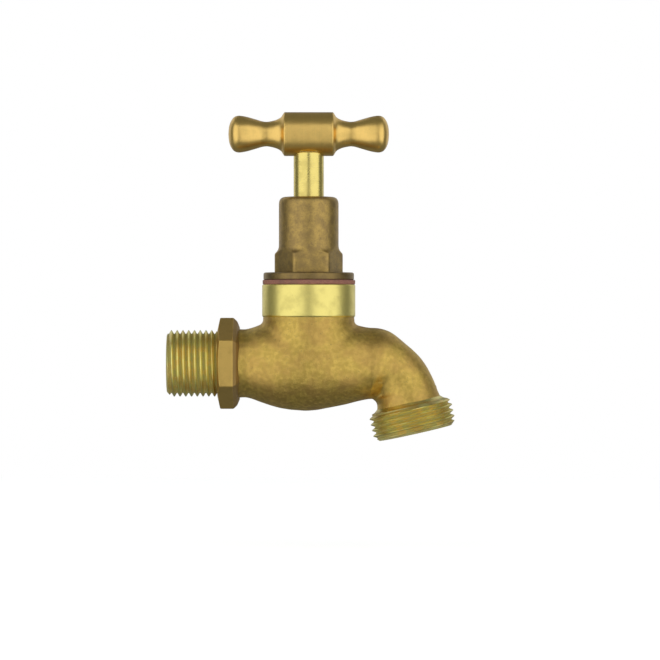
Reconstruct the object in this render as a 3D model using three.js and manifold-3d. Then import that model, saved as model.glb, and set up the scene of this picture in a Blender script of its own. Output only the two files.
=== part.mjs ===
// A brass hose bib with a tee handle: a globe-pattern garden tap, taken apart into the pieces that a
// plumber would lay on the bench. Millimetres, +Z up. The origin is the centre of the inlet's end face,
// +X runs from the wall towards the spout, and the spindle stands parallel to +Z.
import * as THREE from "three";
import { mergeVertices } from "three/addons/utils/BufferGeometryUtils.js";
import Module from "manifold-3d";

const wasm = await Module();
wasm.setup();

// ---- Driving dimensions -------------------------------------------------------------------------

// Parallel pipe threads: half inch on the inlet, three quarter inch on the hose end, 14 to the inch.
const PIPE_PITCH = 1.814;
const PIPE_DEPTH = 1.162;
const INLET_RADIUS = 20.955 / 2;
const HOSE_RADIUS = 26.441 / 2;
const INLET_THREAD_LENGTH = 16.1;
const HOSE_THREAD_LENGTH = 8.6;

// The fitter's hexagon behind the inlet thread.
const HEX_FLATS = 25;
const HEX_CROWN_END = 20.8;
const HEX_TAPER = [{ end: 22.4, flats: 23 }, { end: 23, flats: 20 }];

// The casting's run from the hexagon to the elbow, turned about the inlet's axis.
const STEM_X = 44.6;
const NECK_RADIUS = 10.6;
const BELLY = [[24.8, NECK_RADIUS], [29, 12.2], [35.5, 14.1], [43.5, 15.1], [51.3, 14.1], [59.5, 12.1]];
const RUN_RADIUS = 11.3;
const ELBOW_X = 63.8;

// The elbow and the spout, which leans out from the vertical.
const BEND_RADIUS = 11.9;
const SPOUT_LEAN = THREE.MathUtils.degToRad(12.6);
const SPOUT_STRAIGHT = 12.9;
const SPOUT_RADIUS = 9.2;
const SPOUT_TAPER_ENDS = 0.35;
const SPOUT_FLARE = 1.3;
const SPOUT_FLARE_LENGTH = 6.5;

// The upright boss that takes the bonnet.
const BOSS_RADIUS = 14.7;
const BOSS_TOP = 24.8;

// Waterways.
const INLET_BORE = 7;
const INLET_BORE_LENGTH = 17;
const LOWER_WAY = 5.8;
const OUTLET_WAY = 6;
const SPOUT_BORE = 7.2;
const HOSE_BORE = 9.5;
const HOSE_BORE_LENGTH = 9;
const CHAMBER_RADIUS = 10.5;
const CHAMBER_FLOOR = 2;
const SEAT_TOP = 3.2;
const SEAT_BORE = 5.5;
const SEAT_LIP = 7.2;

// The bonnet: a threaded skirt, a flange, a hexagon and a tower, in one forging.
const BONNET_THREAD = { radius: 22.911 / 2, depth: PIPE_DEPTH, pitch: PIPE_PITCH };
const BONNET_FOOT = 14.2;
const WASHER_THICKNESS = 1.5;
const FLANGE_RADIUS = 14.3;
const FLANGE_THICKNESS = 2.3;
const BONNET_HEX_FLATS = 19;
const BONNET_HEX_LENGTH = 6.8;
const BONNET_HEX_TURN = THREE.MathUtils.degToRad(5);
const TOWER_RADIUS = 9.4;
const TOWER_TOP = 52.4;
const TOWER_ROUND = 2.2;

// The spindle and its lifting thread, one right-hand start: a turn lifts it by the pitch.
const LIFT_THREAD = { radius: 6.5, depth: 1, pitch: 2 };
const LIFT = 5.5;
const STEM_RADIUS = 4.75;
const NOSE_RADIUS = 5.3;
const NOSE_FOOT = 8.4;
const LIFT_THREAD_FOOT = 15;
const LIFT_THREAD_HEAD = 26.5;
const STEM_HEAD = 66.3;
const SPIGOT_SIDE = 6.4;
const SPIGOT_HEAD = 75.5;
const SOCKET_RADIUS = 2.9;
const SOCKET_TOP = 21;

// Seals.
const RING_WIRE = 0.8;
const RING_RADIUS = 4.07;
const RING_HEIGHTS = { spindle_o_ring_lower: 39.5, spindle_o_ring_upper: 44.5 };
const RING_GROOVE = { floor: 3.15, half: 1 };
const SLIP_WASHER_THICKNESS = 0.8;
const SLIP_WASHER_RADIUS = 5.7;

// The jumper valve under the spindle, with its washer, nut and clip.
const JUMPER_STEM = 2.5;
const JUMPER_TOP = 19.5;
const DISC_RADIUS = 7.6;
const DISC_FOOT = 6.1;
const DISC_TOP = 8.1;
const STUD_RADIUS = 1.75;
const STUD_FOOT = 0.9;
const RUBBER_RADIUS = 7.3;
const NUT_FLATS = 6;
const NUT_THICKNESS = 1.8;
const CLIP = { inner: 2.1, outer: 3.6, thickness: 1, height: 11.4, opening: 1.1 };

// The tee handle.
const HANDLE_Z = 72.2;
const BARREL_RADIUS = 6.9;
const BARREL_HALF = 7.7;
const COVE_START = { x: 8.6, radius: 5.45 };
const ARM_HALF = 25.3;
const SET_SCREW_RADIUS = 1.75;
const SET_SCREW_LENGTH = 3;

// Clearances.
const RUNNING_GAP = 0.2;
const THREAD_GAP = 0.35;
const LOOSE_GAP = 0.3;
const CONTACT_GAP = 0.05;

// Facets round a circle.
const COARSE = 20;
const MIDDLE = 24;
const FINE = 36;

// ---- Solids -------------------------------------------------------------------------------------

// A closed three.js geometry as a manifold solid.
function solid(geometry) {
  const bare = geometry.clone();
  bare.deleteAttribute("normal");
  bare.deleteAttribute("uv");
  const merged = mergeVertices(bare, 1e-4);
  const index = merged.index.array;
  const kept = [];
  for (let i = 0; i < index.length; i += 3) {
    const [a, b, c] = index.subarray(i, i + 3);
    if (a !== b && b !== c && c !== a) kept.push(a, b, c);
  }
  const vertProperties = new Float32Array(merged.attributes.position.array);
  const triVerts = new Uint32Array(kept);
  return new wasm.Manifold(new wasm.Mesh({ numProp: 3, vertProperties, triVerts }));
}

// A manifold solid as a named three.js mesh.
function part(name, made, material) {
  const { vertProperties, triVerts } = made.getMesh();
  const geometry = new THREE.BufferGeometry();
  geometry.setAttribute("position", new THREE.BufferAttribute(new Float32Array(vertProperties), 3));
  geometry.setIndex(new THREE.BufferAttribute(new Uint32Array(triVerts), 1));
  geometry.computeVertexNormals();
  const mesh = new THREE.Mesh(geometry, material);
  mesh.name = name;
  return mesh;
}

// A solid turned about +Z from a profile of [radius, height], which runs anticlockwise.
function turnedAboutZ(profile, segments) {
  const points = profile.map(([r, z]) => new THREE.Vector2(r, z));
  return solid(new THREE.LatheGeometry(points, segments).rotateX(Math.PI / 2));
}

// A solid turned about +X from a profile of [distance along X, radius].
function turnedAboutX(profile, segments) {
  const points = profile.map(([x, r]) => new THREE.Vector2(r, x));
  return solid(new THREE.LatheGeometry(points, segments).rotateZ(-Math.PI / 2));
}

// A plain round bar or bore on +Z.
function bar(radius, bottom, top, segments = MIDDLE) {
  return turnedAboutZ([[0, bottom], [radius, bottom], [radius, top], [0, top]], segments);
}

// A flat ring on +Z.
function ring(inner, outer, bottom, top, segments = MIDDLE) {
  const section = [[inner, bottom], [outer, bottom], [outer, top], [inner, top], [inner, bottom]];
  return turnedAboutZ(section, segments);
}

// The distance from a hexagon's middle to its corners.
function cornerRadius(flats) {
  return flats / 2 / Math.cos(Math.PI / 6);
}

// A hexagonal bar on +Z with two flats square to Y, turned by angle. It may taper to topFlats.
function hexBar(flats, bottom, top, angle = 0, topFlats = flats) {
  const geometry = new THREE.CylinderGeometry(cornerRadius(topFlats), cornerRadius(flats), top - bottom, 6);
  geometry.rotateX(Math.PI / 2).rotateZ(Math.PI / 6 + angle);
  return solid(geometry.translate(0, 0, (bottom + top) / 2));
}

// A round tube's solid along a curve. An arc is cut into twice as many pieces as curveSegments says.
function swept(curve, radius, steps, segments = COARSE) {
  const section = new THREE.Shape().absarc(0, 0, radius, 0, 2 * Math.PI);
  const options = { extrudePath: curve, steps, curveSegments: segments / 2, bevelEnabled: false };
  return solid(new THREE.ExtrudeGeometry(section, options));
}

// A right-hand V thread on +Z: each row of points climbs one pitch in a turn, rows alternate between
// root and crest half a pitch apart, and a fan closes each end beyond bottom and top. The rows count from
// a height of 0, so a screw and its nut are always in phase.
function threadedRod({ radius, depth, pitch }, bottom, top, segments = MIDDLE) {
  const rows = 2 * Math.ceil((top - bottom) / pitch + 4);
  const start = pitch * (Math.floor(bottom / pitch) - 2);
  const positions = [];
  const firstOfColumn = [];
  for (let column = 0; column < segments; column++) {
    firstOfColumn.push(positions.length / 3);
    const angle = (2 * Math.PI * column) / segments;
    const last = column === 0 ? rows + 2 : rows;
    for (let row = 0; row <= last; row++) {
      const r = row % 2 ? radius : radius - depth;
      const along = start + pitch * (row / 2 + column / segments);
      positions.push(r * Math.cos(angle), r * Math.sin(angle), along);
    }
  }
  const wrapped = (row) => firstOfColumn[0] + row + 2;
  const at = (row, column) => (column === segments ? wrapped(row) : firstOfColumn[column] + row);
  const index = [];
  for (let column = 0; column < segments; column++) {
    for (let row = 0; row < rows; row++) {
      const [a, b] = [at(row, column), at(row, column + 1)];
      const [c, d] = [at(row + 1, column + 1), at(row + 1, column)];
      index.push(a, b, c, a, c, d);
    }
  }
  const low = positions.length / 3;
  positions.push(0, 0, start - pitch);
  positions.push(0, 0, start + pitch * (rows / 2 + 2));
  const rim = (row) => {
    const loop = Array.from({ length: segments + 1 }, (_, column) => at(row, column));
    return [...loop, at(row + 1, 0), at(row, 0)];
  };
  const [lower, upper] = [rim(0), rim(rows)];
  for (let i = 0; i + 1 < lower.length; i++) {
    index.push(low, lower[i + 1], lower[i]);
    index.push(low + 1, upper[i], upper[i + 1]);
  }
  const geometry = new THREE.BufferGeometry();
  geometry.setAttribute("position", new THREE.Float32BufferAttribute(positions, 3));
  geometry.setIndex(index);
  return solid(geometry);
}

// The female form of a thread: the same helix, opened by the thread gap.
function tapped(thread) {
  return { ...thread, radius: thread.radius + THREAD_GAP };
}

// Turns a solid that was made about +Z so that it lies about +X.
function layAlongX(made) {
  return made.rotate([0, 90, 0]);
}

function joined(...solids) {
  return solids.reduce((a, b) => a.add(b));
}

// ---- Curves -------------------------------------------------------------------------------------

// The spout's centreline: level from the spindle's axis, round the elbow, then straight to the hose end.
class SpoutCurve extends THREE.Curve {
  constructor(startX, endShort = 0) {
    super();
    this.startX = startX;
    this.level = ELBOW_X - startX;
    this.bend = Math.PI / 2 - SPOUT_LEAN;
    this.total = this.level + BEND_RADIUS * this.bend + SPOUT_STRAIGHT - endShort;
  }
  getPoint(t, target = new THREE.Vector3()) {
    const along = t * this.total;
    if (along < this.level) return target.set(this.startX + along, 0, 0);
    const turned = Math.min((along - this.level) / BEND_RADIUS, this.bend);
    const rest = along - this.level - BEND_RADIUS * turned;
    return target.set(
      ELBOW_X + BEND_RADIUS * Math.sin(turned) + rest * Math.cos(turned),
      0,
      -BEND_RADIUS * (1 - Math.cos(turned)) - rest * Math.sin(turned),
    );
  }
}

// A round cylinder bent along a curve in the plane of symmetry, its radius a function of the curve's t.
function bent(curve, radiusAt, steps, segments) {
  const geometry = new THREE.CylinderGeometry(1, 1, 1, segments, steps);
  const place = geometry.attributes.position;
  const across = new THREE.Vector3(0, 1, 0);
  for (let i = 0; i < place.count; i++) {
    const t = place.getY(i) + 0.5;
    const out = new THREE.Vector3().crossVectors(across, curve.getTangent(t));
    const point = curve.getPoint(t);
    point.addScaledVector(across, radiusAt(t) * place.getX(i));
    point.addScaledVector(out, radiusAt(t) * place.getZ(i));
    place.setXYZ(i, point.x, point.y, point.z);
  }
  return solid(geometry);
}

// A smooth curve in the plane of symmetry through [x, z] points.
function planeCurve(points) {
  return new THREE.CatmullRomCurve3(points.map(([x, z]) => new THREE.Vector3(x, 0, z)));
}

// Moves a solid made about +Z, foot at 0, onto the hose end, so that -Z points out of the spout.
function ontoSpout(made) {
  const end = new SpoutCurve(STEM_X).getPoint(1);
  return made.rotate([0, -THREE.MathUtils.radToDeg(SPOUT_LEAN), 0]).translate([end.x, 0, end.z]);
}

// ---- Materials ----------------------------------------------------------------------------------

const metal = (color, roughness) => new THREE.MeshStandardMaterial({ color, roughness, metalness: 1 });
const soft = (color) => new THREE.MeshStandardMaterial({ color, roughness: 0.8, metalness: 0 });
const castBrass = metal(0xb08d45, 0.5);
const forgedBrass = metal(0x94793f, 0.5);
const turnedBrass = metal(0xd9bf62, 0.22);
const polishedBrass = metal(0xcda955, 0.25);
const steel = metal(0x9a9a98, 0.35);
const fibre = soft(0x8a3b33);
const rubber = soft(0x1c1c1c);
const ptfe = soft(0xe8e6df);

// ---- The body -----------------------------------------------------------------------------------

// The run about the inlet's axis: a neck, a long belly and the elbow's root.
function run() {
  const root = ELBOW_X + 1.2;
  const spots = [...BELLY, [root, RUN_RADIUS]].map(([x, r]) => new THREE.Vector2(x, r));
  const outline = new THREE.SplineCurve(spots).getPoints(14).map((p) => [p.x, p.y]);
  const start = INLET_THREAD_LENGTH + 0.5;
  return turnedAboutX([[start, 0], [start, NECK_RADIUS], ...outline, [root, 0]], FINE);
}

// The spout's outside: as wide as the run where it leaves it, narrow from the middle of the bend on, and
// swelling again towards the hose collar.
function spoutWall() {
  const endShort = 3;
  const curve = new SpoutCurve(ELBOW_X - 1, endShort);
  const { lerp, smoothstep } = THREE.MathUtils;
  const flareStart = HOSE_THREAD_LENGTH + SPOUT_FLARE_LENGTH;
  const radiusAt = (t) => {
    const fromEnd = (1 - t) * curve.total + endShort;
    const flare = SPOUT_FLARE * smoothstep(flareStart - fromEnd, 0, SPOUT_FLARE_LENGTH);
    return lerp(RUN_RADIUS, SPOUT_RADIUS, smoothstep(t, 0, SPOUT_TAPER_ENDS)) + flare;
  };
  return bent(curve, radiusAt, 16, FINE);
}

// A hexagon with a turned chamfer on its front face, whose flats lean in at the back as the pattern does.
function fitterHexagon() {
  const corner = cornerRadius(HEX_FLATS) + 0.1;
  const last = HEX_TAPER.at(-1).end;
  const front = turnedAboutX(
    [
      [INLET_THREAD_LENGTH, 0],
      [INLET_THREAD_LENGTH, corner - 0.8],
      [INLET_THREAD_LENGTH + 0.7, corner],
      [last + 1, corner],
      [last + 1, 0],
    ],
    FINE,
  );
  const lengths = [{ end: HEX_CROWN_END, flats: HEX_FLATS }, ...HEX_TAPER].map(({ end, flats }, i, all) => {
    const before = i ? all[i - 1] : { end: INLET_THREAD_LENGTH - 1, flats: HEX_FLATS };
    return hexBar(before.flats, before.end, end, 0, flats);
  });
  return layAlongX(joined(...lengths)).intersect(front);
}

function inletThread() {
  const thread = { radius: INLET_RADIUS, depth: PIPE_DEPTH, pitch: PIPE_PITCH };
  const root = INLET_RADIUS - PIPE_DEPTH;
  const outside = turnedAboutX(
    [
      [0, 0],
      [0, root],
      [PIPE_DEPTH, INLET_RADIUS + 0.1],
      [INLET_THREAD_LENGTH + 0.5, INLET_RADIUS + 0.1],
      [INLET_THREAD_LENGTH + 0.5, 0],
    ],
    MIDDLE,
  );
  return layAlongX(threadedRod(thread, 0, INLET_THREAD_LENGTH + 1)).intersect(outside);
}

// The hose thread with a plain collar above it that runs into the spout.
function hoseThread() {
  const thread = { radius: HOSE_RADIUS, depth: PIPE_DEPTH, pitch: PIPE_PITCH };
  const root = HOSE_RADIUS - PIPE_DEPTH;
  const outside = turnedAboutZ(
    [
      [0, 0],
      [root - 0.4, 0],
      [HOSE_RADIUS + 0.1, 1.4],
      [HOSE_RADIUS + 0.1, HOSE_THREAD_LENGTH - 0.5],
      [root - 1.2, HOSE_THREAD_LENGTH + 0.4],
      [SPOUT_RADIUS + SPOUT_FLARE - 0.4, HOSE_THREAD_LENGTH + 1.2],
      [0, HOSE_THREAD_LENGTH + 1.2],
    ],
    FINE,
  );
  return ontoSpout(threadedRod(thread, 0, HOSE_THREAD_LENGTH + 2).intersect(outside));
}

// The water's way, but for the seat: in along the inlet, down under the seat, and from the chamber above it
// over the bridge wall and out through the spout.
function waterways() {
  const inlet = layAlongX(bar(INLET_BORE, -1, INLET_BORE_LENGTH));
  const under = planeCurve([[INLET_BORE_LENGTH - 3, 0], [27, -3.5], [35, -6], [STEM_X + 4.5, -6.2]]);
  const over = planeCurve([[54, 8], [57, 5.6], [61, 2], [66, -1]]);
  const chamberTop = BOSS_TOP + 1;
  const upright = joined(
    bar(CHAMBER_RADIUS, CHAMBER_FLOOR, chamberTop, FINE),
    threadedRod(tapped(BONNET_THREAD), BONNET_FOOT, chamberTop + 1).intersect(
      bar(BONNET_THREAD.radius + 1, BONNET_FOOT - 0.6, chamberTop, FINE),
    ),
  ).translate([STEM_X, 0, 0]);
  const hose = ontoSpout(bar(HOSE_BORE, -1, HOSE_BORE_LENGTH));
  const spout = swept(new SpoutCurve(ELBOW_X - 2.5), SPOUT_BORE, 12);
  return joined(inlet, swept(under, LOWER_WAY, 8), swept(over, OUTLET_WAY, 4), upright, spout, hose);
}

function tapBody() {
  const boss = turnedAboutZ(
    [[0, 0], [BOSS_RADIUS, 0], [BOSS_RADIUS, BOSS_TOP - 0.4], [BOSS_RADIUS - 0.4, BOSS_TOP], [0, BOSS_TOP]],
    FINE,
  ).translate([STEM_X, 0, 0]);
  const outside = joined(inletThread(), fitterHexagon(), run(), boss, spoutWall(), hoseThread());
  const seatLip = bar(SEAT_LIP, CHAMBER_FLOOR - 0.5, SEAT_TOP).translate([STEM_X, 0, 0]);
  const seatBore = bar(SEAT_BORE, -6, SEAT_TOP + 1).translate([STEM_X, 0, 0]);
  return outside.subtract(waterways()).add(seatLip).subtract(seatBore);
}

// ---- The bonnet and its washer ------------------------------------------------------------------

const FLANGE_FOOT = BOSS_TOP + WASHER_THICKNESS;
const HEX_FOOT = FLANGE_FOOT + FLANGE_THICKNESS;
const TOWER_FOOT = HEX_FOOT + BONNET_HEX_LENGTH;
const SHOULDER = LIFT_THREAD_HEAD + LIFT + SLIP_WASHER_THICKNESS + 2 * LOOSE_GAP;

// The thread that screws into the boss, cut short below the flange, where a plain relief takes over.
function bonnetSkirt() {
  const { radius, depth } = BONNET_THREAD;
  const top = BOSS_TOP - 1;
  const outside = turnedAboutZ(
    [
      [0, BONNET_FOOT],
      [radius - depth, BONNET_FOOT],
      [radius + 0.1, BONNET_FOOT + depth],
      [radius + 0.1, top],
      [0, top],
    ],
    FINE,
  );
  const relief = bar(radius - depth, top - 0.5, FLANGE_FOOT + 0.5, FINE);
  return threadedRod(BONNET_THREAD, BONNET_FOOT, BOSS_TOP).intersect(outside).add(relief);
}

function bonnetFlange() {
  const edge = 0.6;
  return turnedAboutZ(
    [
      [0, FLANGE_FOOT],
      [FLANGE_RADIUS, FLANGE_FOOT],
      [FLANGE_RADIUS, HEX_FOOT - edge],
      [FLANGE_RADIUS - edge, HEX_FOOT],
      [0, HEX_FOOT],
    ],
    FINE,
  );
}

function bonnetHexagon() {
  const corner = cornerRadius(BONNET_HEX_FLATS);
  const crown = turnedAboutZ(
    [
      [0, HEX_FOOT - 1],
      [corner, HEX_FOOT - 1],
      [corner, TOWER_FOOT - 1],
      [TOWER_RADIUS, TOWER_FOOT],
      [0, TOWER_FOOT],
    ],
    FINE,
  );
  return hexBar(BONNET_HEX_FLATS, HEX_FOOT - 1, TOWER_FOOT, BONNET_HEX_TURN).intersect(crown);
}

// The plain tower with its rounded shoulder.
function bonnetTower() {
  const rounded = Array.from({ length: 5 }, (_, i) => {
    const angle = (Math.PI / 2) * (i / 4);
    const inward = TOWER_ROUND * (1 - Math.cos(angle));
    const down = TOWER_ROUND * (1 - Math.sin(angle));
    return [TOWER_RADIUS - inward, TOWER_TOP - down];
  });
  return turnedAboutZ([[0, HEX_FOOT], [TOWER_RADIUS, HEX_FOOT], ...rounded, [0, TOWER_TOP]], FINE);
}

// What is taken out of the bonnet: the tapped way, a plain counterbore above it and the stem's bore.
function bonnetBore() {
  const threadTop = SHOULDER - LIFT_THREAD.pitch;
  const plain = bar(LIFT_THREAD.radius + 1, BONNET_FOOT - 1, threadTop);
  return joined(
    threadedRod(tapped(LIFT_THREAD), BONNET_FOOT, threadTop).intersect(plain),
    bar(LIFT_THREAD.radius + THREAD_GAP, threadTop - 0.5, SHOULDER),
    bar(STEM_RADIUS + RUNNING_GAP, SHOULDER - 0.5, TOWER_TOP + 1),
  );
}

function bonnet() {
  return joined(bonnetSkirt(), bonnetFlange(), bonnetHexagon(), bonnetTower())
    .subtract(bonnetBore())
    .translate([STEM_X, 0, 0]);
}

function bonnetWasher() {
  const inner = BONNET_THREAD.radius + THREAD_GAP + 0.2;
  const [bottom, top] = [BOSS_TOP + CONTACT_GAP, FLANGE_FOOT - CONTACT_GAP];
  return ring(inner, BOSS_RADIUS, bottom, top, FINE).translate([STEM_X, 0, 0]);
}

// ---- The spindle, its seals and the handle ------------------------------------------------------

function spindle() {
  const { radius, depth } = LIFT_THREAD;
  const thread = threadedRod(LIFT_THREAD, LIFT_THREAD_FOOT, LIFT_THREAD_HEAD).intersect(
    turnedAboutZ(
      [
        [0, LIFT_THREAD_FOOT],
        [radius - depth, LIFT_THREAD_FOOT],
        [radius + 0.1, LIFT_THREAD_FOOT + depth],
        [radius + 0.1, LIFT_THREAD_HEAD - depth],
        [radius - depth, LIFT_THREAD_HEAD],
        [0, LIFT_THREAD_HEAD],
      ],
      MIDDLE,
    ),
  );
  const nose = bar(NOSE_RADIUS, NOSE_FOOT, LIFT_THREAD_FOOT + 0.5);
  const stem = bar(STEM_RADIUS, LIFT_THREAD_HEAD - 0.5, STEM_HEAD);
  const spigotFoot = STEM_HEAD - 1;
  const spigot = new THREE.BoxGeometry(SPIGOT_SIDE, SPIGOT_SIDE, SPIGOT_HEAD - spigotFoot);
  spigot.translate(0, 0, (SPIGOT_HEAD + spigotFoot) / 2);
  const grooves = Object.values(RING_HEIGHTS).map((z) =>
    ring(RING_GROOVE.floor, STEM_RADIUS + 1, z - RING_GROOVE.half, z + RING_GROOVE.half),
  );
  const clipGroove = bar(CLIP.outer + LOOSE_GAP, CLIP.height - 0.8, CLIP.height + 0.8, COARSE);
  const socket = bar(SOCKET_RADIUS, NOSE_FOOT - 1, SOCKET_TOP, COARSE);
  return joined(nose, thread, stem, solid(spigot))
    .subtract(joined(...grooves, clipGroove, socket))
    .translate([STEM_X, 0, 0]);
}

function oRing(height) {
  return solid(new THREE.TorusGeometry(RING_RADIUS, RING_WIRE, 8, MIDDLE)).translate([STEM_X, 0, height]);
}

function slipWasher() {
  const foot = LIFT_THREAD_HEAD + CONTACT_GAP;
  const inner = STEM_RADIUS + RUNNING_GAP;
  return ring(inner, SLIP_WASHER_RADIUS, foot, foot + SLIP_WASHER_THICKNESS).translate([STEM_X, 0, 0]);
}

// Half of the handle's outline, from the barrel's chamfer to the tip of the arm: a cove, a waist and a
// knob. The curve passes through the [distance from the middle, radius] points.
function armOutline() {
  const { x, radius } = COVE_START;
  const cove = [[x, radius], [10, 4.55], [13.2, 3.87]];
  const knob = [[17.9, 5], [21.4, 5.8], [23.8, 5.2], [24.9, 3.2], [ARM_HALF, 0]];
  const curve = new THREE.SplineCurve([...cove, ...knob].map((spot) => new THREE.Vector2(...spot)));
  return curve.getPoints(12).map((p) => [p.x, Math.max(p.y, 0)]);
}

function teeHandle() {
  const arm = armOutline();
  const otherArm = arm.map(([x, r]) => [-x, r]).reverse();
  const outline = [...otherArm, [-BARREL_HALF, BARREL_RADIUS], [BARREL_HALF, BARREL_RADIUS], ...arm];
  const grip = turnedAboutX(outline, MIDDLE).translate([0, 0, HANDLE_Z]);
  const side = SPIGOT_SIDE + 2 * LOOSE_GAP;
  const [bottom, top] = [HANDLE_Z - BARREL_RADIUS, SPIGOT_HEAD + LOOSE_GAP];
  const square = new THREE.BoxGeometry(side, side, top - bottom).translate(0, 0, (bottom + top) / 2);
  const sockets = joined(
    solid(square),
    bar(STEM_RADIUS + LOOSE_GAP, bottom - 1, STEM_HEAD + LOOSE_GAP),
    setScrewBar(SET_SCREW_RADIUS + RUNNING_GAP, 0, BARREL_RADIUS + 1),
  );
  return grip.subtract(sockets).translate([STEM_X, 0, 0]);
}

// A bar along +Y through the barrel's middle, between two distances from the spindle's axis.
function setScrewBar(radius, near, far) {
  return bar(radius, near, far, COARSE).rotate([-90, 0, 0]).translate([0, 0, HANDLE_Z]);
}

function setScrew() {
  const near = SPIGOT_SIDE / 2 + CONTACT_GAP;
  const far = near + SET_SCREW_LENGTH;
  const slot = new THREE.BoxGeometry(4, 0.8, 0.7).translate(0, far - 0.35, HANDLE_Z);
  return setScrewBar(SET_SCREW_RADIUS, near, far).subtract(solid(slot)).translate([STEM_X, 0, 0]);
}

// ---- The jumper valve ---------------------------------------------------------------------------

function jumperValve() {
  const edge = 0.5;
  const disc = turnedAboutZ(
    [
      [0, DISC_FOOT],
      [DISC_RADIUS, DISC_FOOT],
      [DISC_RADIUS, DISC_TOP - edge],
      [DISC_RADIUS - edge, DISC_TOP],
      [0, DISC_TOP],
    ],
    MIDDLE,
  );
  const stud = bar(STUD_RADIUS, STUD_FOOT, DISC_FOOT + 0.5, COARSE);
  const stem = bar(JUMPER_STEM, DISC_TOP - 0.5, JUMPER_TOP, COARSE);
  const [bottom, top] = [CLIP.height - 0.7, CLIP.height + 0.7];
  const groove = ring(CLIP.inner - RUNNING_GAP, JUMPER_STEM + 1, bottom, top, COARSE);
  return joined(stud, disc, stem).subtract(groove).translate([STEM_X, 0, 0]);
}

function jumperWasher() {
  const [bottom, top] = [SEAT_TOP + CONTACT_GAP, DISC_FOOT - CONTACT_GAP];
  return ring(STUD_RADIUS + RUNNING_GAP, RUBBER_RADIUS, bottom, top).translate([STEM_X, 0, 0]);
}

function jumperNut() {
  return hexBar(NUT_FLATS, SEAT_TOP - NUT_THICKNESS, SEAT_TOP)
    .subtract(bar(STUD_RADIUS + RUNNING_GAP, 0, SEAT_TOP + 1, COARSE))
    .translate([STEM_X, 0, 0]);
}

function jumperClip() {
  const { inner, outer, thickness, height, opening } = CLIP;
  const mouth = new THREE.BoxGeometry(2 * outer, 2 * opening, 3).translate(outer, 0, height);
  return ring(inner, outer, height - thickness / 2, height + thickness / 2, COARSE)
    .subtract(solid(mouth))
    .translate([STEM_X, 0, 0]);
}

// ---- The assembly -------------------------------------------------------------------------------

const hoseBib = new THREE.Group();
hoseBib.add(part("tap_body", tapBody(), castBrass));
hoseBib.add(part("bonnet", bonnet(), forgedBrass));
hoseBib.add(part("bonnet_washer", bonnetWasher(), fibre));
hoseBib.add(part("spindle", spindle(), turnedBrass));
for (const [name, height] of Object.entries(RING_HEIGHTS)) hoseBib.add(part(name, oRing(height), rubber));
hoseBib.add(part("spindle_slip_washer", slipWasher(), ptfe));
hoseBib.add(part("jumper_valve", jumperValve(), turnedBrass));
hoseBib.add(part("jumper_washer", jumperWasher(), rubber));
hoseBib.add(part("jumper_nut", jumperNut(), turnedBrass));
hoseBib.add(part("jumper_clip", jumperClip(), steel));
hoseBib.add(part("t_handle", teeHandle(), polishedBrass));
hoseBib.add(part("handle_set_screw", setScrew(), steel));

export default hoseBib;
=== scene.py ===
# %% [markdown]
# # A brass hose bib with a tee handle
# A hose bib is the tap on an outside wall that a garden hose screws onto. This one is a casting in
# yellow brass with a forged bonnet, a turned spindle and a turned tee handle. The lesson makes each
# visible piece as a surface worked out with numpy: a function of two numbers on a grid, such as the
# distance along an axis and the angle round it. Everything is worked out in millimetres and stored in
# metres, in the same frame as the engineering model: +Z up the spindle, +X from the wall to the spout.

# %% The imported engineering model
import math

import bpy
import numpy as np
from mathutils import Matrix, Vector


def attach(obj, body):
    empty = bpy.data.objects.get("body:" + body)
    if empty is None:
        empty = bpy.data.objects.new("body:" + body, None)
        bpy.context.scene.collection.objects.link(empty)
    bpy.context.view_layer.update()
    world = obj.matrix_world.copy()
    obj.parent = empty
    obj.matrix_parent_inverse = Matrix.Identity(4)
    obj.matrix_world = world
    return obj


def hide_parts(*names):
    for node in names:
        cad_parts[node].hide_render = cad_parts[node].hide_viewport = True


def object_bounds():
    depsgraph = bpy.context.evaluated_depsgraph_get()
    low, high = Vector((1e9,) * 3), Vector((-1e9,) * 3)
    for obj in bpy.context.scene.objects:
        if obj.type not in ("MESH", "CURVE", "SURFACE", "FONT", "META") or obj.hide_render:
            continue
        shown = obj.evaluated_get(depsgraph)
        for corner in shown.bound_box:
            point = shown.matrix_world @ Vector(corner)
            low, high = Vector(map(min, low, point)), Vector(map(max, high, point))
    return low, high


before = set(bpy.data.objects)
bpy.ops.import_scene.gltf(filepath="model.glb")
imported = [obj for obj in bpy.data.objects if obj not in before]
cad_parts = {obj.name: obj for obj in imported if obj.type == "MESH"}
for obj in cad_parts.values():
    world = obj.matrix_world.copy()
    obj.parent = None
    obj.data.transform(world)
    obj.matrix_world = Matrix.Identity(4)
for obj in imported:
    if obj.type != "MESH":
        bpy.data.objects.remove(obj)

cad_low, cad_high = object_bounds()
print("box in mm:", [round(1000 * v, 1) for v in (*cad_low, *cad_high)])

# %% [markdown]
# ## From a grid of points to a closed mesh
# A grid has rows and columns, and the last column joins the first. A surface that closes on itself can
# be made of a few such patches whose end rows lie on each other. Points that fall in the same place
# are made one, so a row that shrinks to a point becomes a pole, and a quad that lost a corner becomes a
# triangle. Blender's own merge would do, but the same thing in arrays keeps each point's extra number
# as well: how deep it lies in a thread, say, which the materials use.

# %% Patches, stitching and the piece maker
MM = 0.001
SAME_PLACE = 1e-5


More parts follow.
